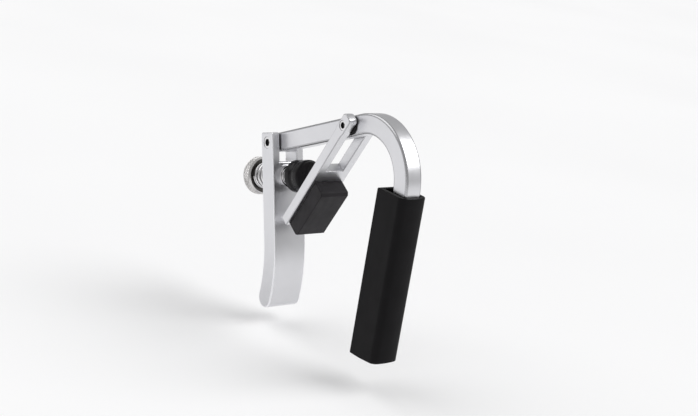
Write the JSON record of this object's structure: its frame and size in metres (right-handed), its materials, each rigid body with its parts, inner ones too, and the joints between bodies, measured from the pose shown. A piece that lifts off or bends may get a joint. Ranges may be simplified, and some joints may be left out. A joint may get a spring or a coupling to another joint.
{
  "type": "lever capo",
  "caption": "Over-centre lever capo: a hooked steel bar with a rubber string sleeve, a hinged arm with a neck pad, and a lever whose knurled screw sets the pressure.",
  "frame": {"origin": "centre of the sleeve's flat string face", "axes": "+X along the strings, +Y from the strings into the neck, +Z along the sleeve towards the bar's bend"},
  "size_m": [0.009, 0.0578, 0.0533],
  "materials": {
    "satin_steel": "satin",
    "bright_steel": "polished",
    "knurled_steel": "satin",
    "black_rubber": "matte",
    "black_acetal": "semi-gloss",
    "black_nylon": "matte"
  },
  "bodies": {
    "bar": {"neck_bar": "satin_steel", "string_sleeve": "black_rubber"},
    "arm": {"clamp_arm": "satin_steel", "neck_pad": "black_rubber", "arm_pivot_barrel": "bright_steel", "arm_pivot_screw": "bright_steel", "arm_washer_left": "black_nylon", "arm_washer_right": "black_nylon"},
    "lever": {"closing_lever": "satin_steel", "lever_pivot_barrel": "bright_steel", "lever_pivot_screw": "bright_steel", "lever_washer_left": "black_nylon", "lever_washer_right": "black_nylon", "screw_bush": "bright_steel", "spring_washer": "satin_steel", "tension_spring": "bright_steel"},
    "cap": {"pressure_cap": "black_acetal"},
    "screw": {"adjusting_screw": "bright_steel", "thumb_knob": "knurled_steel", "cap_snap_ring": "bright_steel"}
  },
  "joints": [
    {"name": "lever_hinge", "type": "hinge", "parent": "bar", "child": "lever", "pos_m": [0, 0.04053, 0.01624], "axis": [1, 0, 0], "range_deg": [0, 115]},
    {"name": "arm_hinge", "type": "hinge", "parent": "bar", "child": "arm", "pos_m": [0, 0.01374, 0.02772], "axis": [1, 0, 0], "range_deg": [0, 13.5]},
    {"name": "cap_slide", "type": "slide", "parent": "lever", "child": "cap", "axis": [0, 0.9578, -0.2874], "range_m": [0, 0.00238], "deforming": ["tension_spring"]},
    {"name": "screw_spin", "type": "hinge", "parent": "cap", "child": "screw", "pos_m": [0, 0.03829, 0.00877], "axis": [0, 0.9578, -0.2874], "range_deg": [0, 1080]}
  ],
  "couplings": [
    {"joint": "arm_hinge", "follows": "lever_hinge", "ratio": 0.115},
    {"joint": "screw_spin", "follows": "cap_slide", "rad_per_m": 7913.3}
  ]
}
